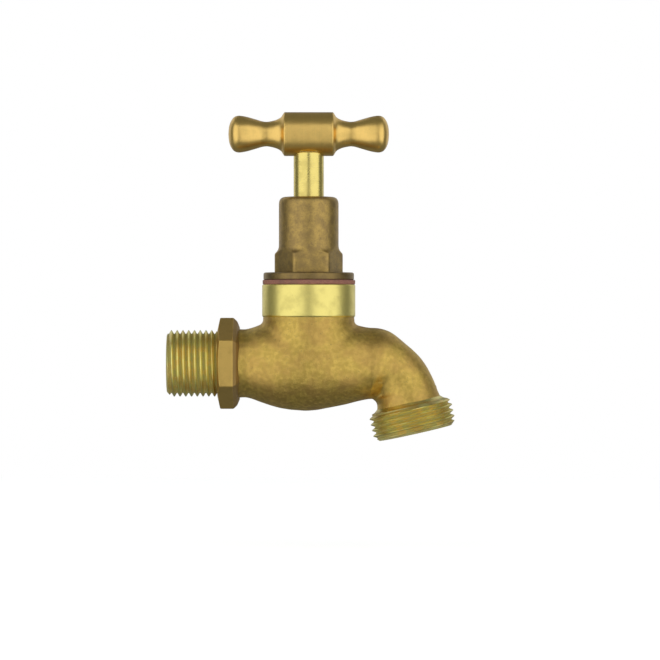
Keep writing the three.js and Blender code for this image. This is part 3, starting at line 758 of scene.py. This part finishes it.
def hose_thread():
    """The helix up to the collar, the cone into the spout, and the mouth with its sealing face."""
    root = HOSE_CREST - PIPE_DEPTH
    mouth = root - 0.45
    limit = ([0, 1.5, 7.7, HOSE_LENGTH], [mouth, HOSE_CREST, HOSE_CREST, root])
    outside = thread_about_z(root, HOSE_CREST, PIPE_PITCH, 0.0, HOSE_LENGTH, limit)
    depth = HOSE_BORE_DEPTH
    corners = [
        (HOSE_LENGTH, root), (HOSE_LENGTH + 0.35, 11.1, 0.5), (HOSE_LENGTH + 1.4, 9.95), (10.0, 8.6),
        (depth, 8.6), (depth, HOSE_BORE, 0.3), (0.0, HOSE_BORE, 0.5), (0.0, mouth),
    ]
    return onto_spout(outside), onto_spout(about_z(filled(eased(corners), 1.0), 144))


finished(solid("inlet_thread", *inlet_thread()), "body", "tap_body", "cast_brass", THREAD)
finished(solid("hose_thread", *hose_thread()), "body", "tap_body", "cast_brass", THREAD)

# %% [markdown]
# ## The fitter's hexagon
# A wrench grips this to turn the tap onto its pipe. The pattern draws from the sand endways, so behind
# the flats the whole hexagon shrinks, and each flat ends in a straight edge. Only the front face was
# chamfered on the lathe. Taking a soft least of hexagon and turned radius rounds every edge a little, as
# tumbling does, and those rounded edges are what catch the light.

# %% The hexagon behind the inlet thread
FLAT_END = 20.8


def fitter_hexagon():
    corners = [
        (15.9, 8.0), (15.9, 10.6, 0.3), (16.75, 14.36, 0.35), (20.5, 14.36), (21.1, 14.36),
        (22.4, 14.36), (22.9, 14.36), (22.9, 8.0), (15.9, 8.0),
    ]
    line = filled(eased(corners, 7), 0.14)

    def radius(d, r, v):
        flats = soft_least(25.0 + 0 * d, 25.0 - 1.6 * (d - FLAT_END), 0.12)
        flats = soft_least(flats, 22.9 - 4.2 * (d - 22.1), 0.6)
        return np.where(r > 8.1, np.maximum(8.1, soft_least(r, hexagon(flats, v), 0.22)), r)

    # The extra number is 1 on the tapered back behind the flats, where the finish paints shade.
    return about_x(line, 360, radius, shade=(line[:, :1] > FLAT_END + 0.1) * 1.0)


finished(solid("fitter_hexagon", fitter_hexagon()), "body", "tap_body", "cast_brass", HEX_FLAT, crease=50)

# %% [markdown]
# ## The boss, its washer and the bonnet
# The boss is faced and turned in the same chucking as its thread, so it's the brightest part of the
# body. The fibre washer squeezes out a little when the bonnet is pulled down. The bonnet is one forging:
# flange, hexagon and tower, and the hexagon is again the soft least of a side and a turned radius.

# %% Boss, fibre washer and bonnet
BOSS_TOP = 24.8
FLANGE_FOOT = 26.3
HEX_FOOT = 28.6
TOWER_FOOT = 35.4
TOWER_TOP = 52.4
BONNET_TURN = math.radians(5)


def boss():
    corners = [
        (14.4, 12.4), (14.4, 14.2), (14.9, 14.66, 0.3), (BOSS_TOP, 14.66, 0.45), (BOSS_TOP, 11.81),
        (16.4, 11.81), (16.4, 12.4), (14.4, 12.4),
    ]
    return about_z(filled(eased(corners), 0.8), 192, STEM_X)


def fibre_washer():
    """A ring whose rim bulges unevenly: its radius is the plain one and a few slow waves round it."""
    corners = [
        (BOSS_TOP + 0.04, 12.05), (BOSS_TOP + 0.04, 14.55, 0.35), (FLANGE_FOOT - 0.04, 14.6, 0.35),
        (FLANGE_FOOT - 0.04, 12.05), (BOSS_TOP + 0.04, 12.05),
    ]

    def radius(h, r, v):
        wave = 0.05 * np.sin(3 * v + 1.0) + 0.035 * np.sin(7 * v + 0.4) + 0.02 * np.sin(17 * v)
        return np.where(r > 13, r + wave, r)

    return about_z(filled(eased(corners), 0.2), 240, STEM_X, radius)


def bonnet():
    corners = [
        (14.2, 6.85), (14.2, 10.3), (15.3, 11.4), (24.0, 11.4), (24.0, 10.3), (FLANGE_FOOT, 10.3),
        (FLANGE_FOOT, 14.25, 0.3), (HEX_FOOT, 14.25, 0.7), (HEX_FOOT, 10.8, 0.25), (34.4, 10.8, 0.4),
        (TOWER_FOOT, 9.85, 0.5), (TOWER_FOOT + 1.0, 9.4, 1.2), (TOWER_TOP, 9.4, 2.3),
        (TOWER_TOP, 4.97, 0.35), (33.4, 4.97), (33.4, 6.85), (14.2, 6.85),
    ]
    line = filled(eased(corners, 9), 0.4)

    def radius(h, r, v):
        on_hexagon = (h > HEX_FOOT - 0.01) & (h < TOWER_FOOT + 1.2) & (r > 8)
        return np.where(on_hexagon, soft_least(r, hexagon(19.0, v, BONNET_TURN + math.pi / 2), 0.4), r)

    return about_z(line, 288, STEM_X, radius)


finished(solid("bonnet_boss", boss()), "body", "tap_body", "cast_brass", BOSS)
finished(solid("fibre_washer", fibre_washer()), "body", "bonnet_washer", "red_fibre", FIBRE)
finished(solid("bonnet_forging", bonnet()), "body", "bonnet", "forged_brass", FORGED, crease=50)

# %% [markdown]
# ## The spindle
# A bar turned from the solid: a nose with a socket for the jumper valve, a coarse lifting thread, and
# a bright stem with two O-ring grooves, ending in a square that drives the handle.

# %% Spindle
NOSE_FOOT = 8.4
LIFT_FOOT = 15.0
LIFT_HEAD = 26.5
STEM_RADIUS = 4.75
STEM_HEAD = 66.3
SQUARE = 6.4
SQUARE_HEAD = 75.5
RING_HEIGHTS = {"spindle_o_ring_lower": 39.5, "spindle_o_ring_upper": 44.5}


def spindle():
    """The lifting thread's helix, and one line that runs from its top over the stem to the square's top,
    and one from its foot down round the nose and up the socket."""
    root, crest = 5.5, 6.5
    limit = ([LIFT_FOOT, LIFT_FOOT + 1, LIFT_HEAD - 1, LIFT_HEAD], [root, crest, crest, root])
    thread = thread_about_z(root, crest, 2.0, LIFT_FOOT, LIFT_HEAD, limit, x=STEM_X)
    grooves = []
    for height in RING_HEIGHTS.values():
        grooves += [(height - 1, STEM_RADIUS, 0.15), (height - 1, 3.15, 0.2)]
        grooves += [(height + 1, 3.15, 0.2), (height + 1, STEM_RADIUS, 0.15)]
    above = [(LIFT_HEAD, root), (LIFT_HEAD, STEM_RADIUS), *grooves, (STEM_HEAD, STEM_RADIUS, 0.3)]
    above += [(STEM_HEAD, 4.3), (SQUARE_HEAD, 4.3, 0.4), (SQUARE_HEAD, 0)]
    below = [(21.0, 0), (21.0, 2.9), (12.2, 2.9), (12.2, 3.9), (10.6, 3.9), (10.6, 2.9)]
    below += [(NOSE_FOOT, 2.9, 0.2), (NOSE_FOOT, 5.3, 0.4), (LIFT_FOOT, 5.3), (LIFT_FOOT, root)]

    def radius(h, r, v):
        quarter = math.pi / 2
        side = SQUARE / 2 / np.cos(np.mod(v + quarter / 2, quarter) - quarter / 2)
        on_square = (h > STEM_HEAD + 0.01) | ((h > STEM_HEAD - 0.01) & (r < 4.4))
        return np.where(on_square, soft_least(r, side, 0.15), r)

    top = about_z(filled(eased(above), 0.8), 144, STEM_X, radius)
    return thread, top, about_z(filled(eased(below), 0.8), 144, STEM_X)


finished(solid("turned_spindle", *spindle()), "spindle", "spindle", "turned_brass", STEM)

# %% [markdown]
# ## The tee handle
# The handle is turned between centres from one bar: a round barrel, and on each side a cove, a waist and
# a long knob with a domed end. Half of the outline is drawn, smoothed, mirrored and carried round X.
# Then the seat for the stem, the square and the set screw's hole are cut, as a drill and broach would.

# %% Tee handle and set screw
HANDLE_Z = 72.2
BARREL = 6.9
CHAMFER = [(0.0, BARREL), (7.7, BARREL, 0.3), (8.6, 5.45)]
ARM = [
    [8.6, 5.45], [9.3, 4.93], [10.5, 4.4], [11.9, 4.05], [13.2, 3.87], [14.6, 4.02], [15.9, 4.4],
    [18.0, 5.02], [19.5, 5.43], [21.3, 5.76], [22.4, 5.76], [23.4, 5.4], [24.2, 4.55], [24.8, 3.35],
    [25.15, 1.9], [25.3, 0.0],
]


def arm_line():
    """A smooth curve through the arm's points: Catmull and Rom's, a cubic between each two points whose
    slopes come from the points on either side."""
    spots = np.array(ARM)
    padded = np.concatenate([2 * spots[:1] - spots[1:2], spots, 2 * spots[-1:] - spots[-2:-1]])
    t = (np.arange(6) / 6)[None, :, None]
    a, b, c, d = (padded[k : k + len(spots) - 1, None] for k in range(4))
    square, cube = 2 * a - 5 * b + 4 * c - d, 3 * b - a - 3 * c + d
    curve = 0.5 * (2 * b + (c - a) * t + square * t**2 + cube * t**3)
    return np.concatenate([curve.reshape(-1, 2), spots[-1:]])


def tee_handle():
    half = np.concatenate([filled(eased(CHAMFER), 0.5)[:-1], arm_line()])
    return about_x(np.concatenate([half[:0:-1] * [-1, 1], half]), 192, x=STEM_X, z=HANDLE_Z)


def bar_on_y(radius, near, far, columns=64):
    """A plain round bar along +Y at the barrel's middle."""
    v = angles(columns)
    y = np.array([near, near, far, far])[:, None]
    r = np.array([0, radius, radius, 0])[:, None]
    return patch(STEM_X + r * np.cos(v), y + 0 * v, HANDLE_Z + r * np.sin(v))


def box(low, high):
    """A plain box: a square's four corners at each height, closed by a point at each end."""
    middle = (np.array(low) + np.array(high)) / 2
    x = np.array([low[0], high[0], high[0], low[0]])
    y = np.array([low[1], low[1], high[1], high[1]])
    spread = np.array([0, 1, 1, 0])[:, None]
    z = np.array([low[2], low[2], high[2], high[2]])[:, None]
    return patch(middle[0] + spread * (x - middle[0]), middle[1] + spread * (y - middle[1]), z + 0 * x)


half_square = SQUARE / 2 + 0.2
seat_head = STEM_HEAD + 0.3
stem_seat = np.array([[HANDLE_Z - 9, 0], [HANDLE_Z - 9, 4.85], [seat_head, 4.85], [seat_head, 0]])
handle = solid("tee_handle", tee_handle())
cut(
    handle,
    solid("seat", about_z(stem_seat, 144, STEM_X)),
    solid("broached", box(
        (STEM_X - half_square, -half_square, 62), (STEM_X + half_square, half_square, SQUARE_HEAD + 0.3)
    )),
    solid("drilled", bar_on_y(1.95, 0, 9)),
)
finished(handle, "spindle", "t_handle", "handle_brass", HANDLE)
screw = solid("set_screw", bar_on_y(1.75, 3.25, 6.25))
cut(screw, solid("slot", box((STEM_X - 2.2, 5.55, HANDLE_Z - 0.4), (STEM_X + 2.2, 6.6, HANDLE_Z + 0.4))))
finished(screw, "spindle", "handle_set_screw", "spring_steel", STEEL)

# %% [markdown]
# ## Seals and the jumper valve
# These sit inside, where only the hands that service the tap meet them. Each is turned or ringed by the
# same two helpers as the pieces outside, with the sizes of the engineering model.

# %% O-rings, washers and the jumper
def o_ring(height, radius=4.07, wire=0.8, columns=96, rows=32):
    """A ring of round section: radius + wire * cos u out, wire * sin u up."""
    u = np.linspace(0, 2 * np.pi, rows + 1)[:, None]
    section = np.concatenate([height + wire * np.sin(u), radius + wire * np.cos(u)], axis=1)
    return about_z(section, columns, STEM_X)


def flat_ring(bottom, top, inner, outer, round_off=0.15, columns=96, radius=None):
    corners = [
        (bottom, inner), (bottom, (inner + outer) / 2), (bottom, outer, round_off),
        (top, outer, round_off), (top, inner, round_off), (bottom, inner),
    ]
    return about_z(filled(eased(corners), 0.8), columns, STEM_X, radius)


def jumper():
    corners = [
        (0.9, 0), (0.9, 1.75, 0.25), (6.1, 1.75), (6.1, 7.6, 0.25), (8.1, 7.6, 0.4), (8.1, 2.5),
        (10.7, 2.5), (10.7, 1.9), (12.1, 1.9), (12.1, 2.5), (19.5, 2.5, 0.4), (19.5, 0),
    ]
    return about_z(filled(eased(corners), 0.8), 96, STEM_X)


def nut():
    def radius(h, r, v):
        return np.where(r > 2.5, soft_least(r, hexagon(6.0, v), 0.15), r)

    return flat_ring(1.4, 3.2, 1.95, 3.4, 0.3, 180, radius)


def spring_clip(gap=0.55, rows=60):
    """A flat wire bent round: a rectangle of four corners carried along an arc that stops short."""
    u = np.linspace(gap, 2 * np.pi - gap, rows)
    u = np.concatenate([u[:1], u, u[-1:]])[:, None]
    spread = np.concatenate([[0], np.ones(rows), [0]])[:, None]
    r = 2.85 + spread * np.array([-0.7, 0.7, 0.7, -0.7])
    z = 11.4 + spread * np.array([-0.45, -0.45, 0.45, 0.45])
    return patch(STEM_X + r * np.cos(u), r * np.sin(u), z)


for name, height in RING_HEIGHTS.items():
    finished(solid(name + "_fine", o_ring(height)), "spindle", name, "black_rubber", RUBBER)
slip = solid("slip_washer", flat_ring(26.55, 27.35, 4.95, 5.7))
finished(slip, "spindle", "spindle_slip_washer", "white_ptfe", PTFE)
finished(solid("jumper_fine", jumper()), "valve", "jumper_valve", "turned_brass", STEM)
washer = solid("tap_washer", flat_ring(3.25, 6.05, 1.95, 7.3, 0.4))
finished(washer, "valve", "jumper_washer", "black_rubber", RUBBER)
finished(solid("jumper_nut_fine", nut()), "valve", "jumper_nut", "turned_brass", STEM, crease=50)
finished(solid("spring_clip", spring_clip()), "spindle", "jumper_clip", "spring_steel", STEEL)

# %% [markdown]
# ## Floor, light and camera
# Brass looks like what it reflects. Two tall soft boxes stand in front, one on each side of the camera,
# and everything above and below them is dim: that puts a bright band along the middle of each round
# piece and leaves its edges brown. A weaker pair lights the back. The floor is plain and pale and lies
# some way below, as the tap hangs from its inlet in use. It glows faintly, so that it reads as white, and
# is kept out of the reflections, because a white floor would wipe out the dark undersides.

# %% The studio
def sheet(name, corners, finish):
    mesh = bpy.data.meshes.new(name)
    mesh.from_pydata(corners, [], [(0, 1, 2, 3)])
    made = bpy.data.objects.new(name, mesh)
    bpy.context.scene.collection.objects.link(made)
    mesh.materials.append(finish)
    return made


MIDDLE = np.array([0.045, 0.0, 0.025])


def soft_box(name, azimuth, distance, height, size, radiance):
    """A glowing rectangle that faces the tap from so many degrees right of the camera. Its power is
    radiance * pi * area."""
    lamp = bpy.data.lights.new(name, "AREA")
    lamp.shape, lamp.size, lamp.size_y = "RECTANGLE", *size
    lamp.energy = radiance * math.pi * size[0] * size[1]
    made = bpy.data.objects.new(name, lamp)
    bpy.context.scene.collection.objects.link(made)
    turn = math.radians(azimuth)
    made.location = MIDDLE + [distance * math.sin(turn), -distance * math.cos(turn), height]
    made.rotation_euler = (math.atan2(distance, height), 0.0, turn)
    made.visible_camera = False
    return made


floor_finish, floor_place = new_finish("pale_floor")
surface(
    floor_place, None, base_color=(0.86, 0.86, 0.86, 1.0), roughness=0.8,
    emission_color=(1.0, 1.0, 1.0, 1.0), emission_strength=0.62,
)
FLOOR = cad_low[2] - 0.035
SIDE = 0.6
floor_corners = [(-SIDE, -SIDE, FLOOR), (SIDE, -SIDE, FLOOR), (SIDE, SIDE, FLOOR), (-SIDE, SIDE, FLOOR)]
floor = sheet("floor", floor_corners, floor_finish)
floor.visible_glossy = False
floor.visible_shadow = False

world = bpy.data.worlds.new("studio")
world.use_nodes = True
world.node_tree.nodes.clear()
sky = Wire(world.node_tree)
seen = sky.node("LightPath", None, None, "Is Camera Ray")
grey = seen.colour((0.16, 0.17, 0.165), (1.0, 1.0, 1.0))
light = sky.node("Background", None, {"Color": grey, "Strength": 1.0})
world_output = world.node_tree.nodes.new("ShaderNodeOutputWorld")
world.node_tree.links.new(light.socket, world_output.inputs["Surface"])
bpy.context.scene.world = world

soft_box("front_left", -46, 0.9, 0.06, (1.39, 2.2), 0.9)
soft_box("front_right", 46, 0.9, 0.06, (1.39, 2.2), 0.9)
soft_box("back_left", -145, 1.0, 0.35, (0.8, 1.2), 0.5)
soft_box("back_right", 145, 1.0, 0.35, (0.8, 1.2), 0.5)

camera = bpy.data.objects.new("camera", bpy.data.cameras.new("camera"))
bpy.context.scene.collection.objects.link(camera)
camera.data.sensor_width = 36.0
camera.data.lens = 36.0 * 1.2 / 0.2079
camera.location = (0.0513, -1.2, 0.0105)
camera.rotation_euler = (math.pi / 2, 0.0, 0.0)
bpy.context.scene.camera = camera
bpy.context.scene.view_settings.view_transform = "Standard"

print("CAD box in mm:", [round(1000 * v, 2) for v in (*cad_low, *cad_high)])
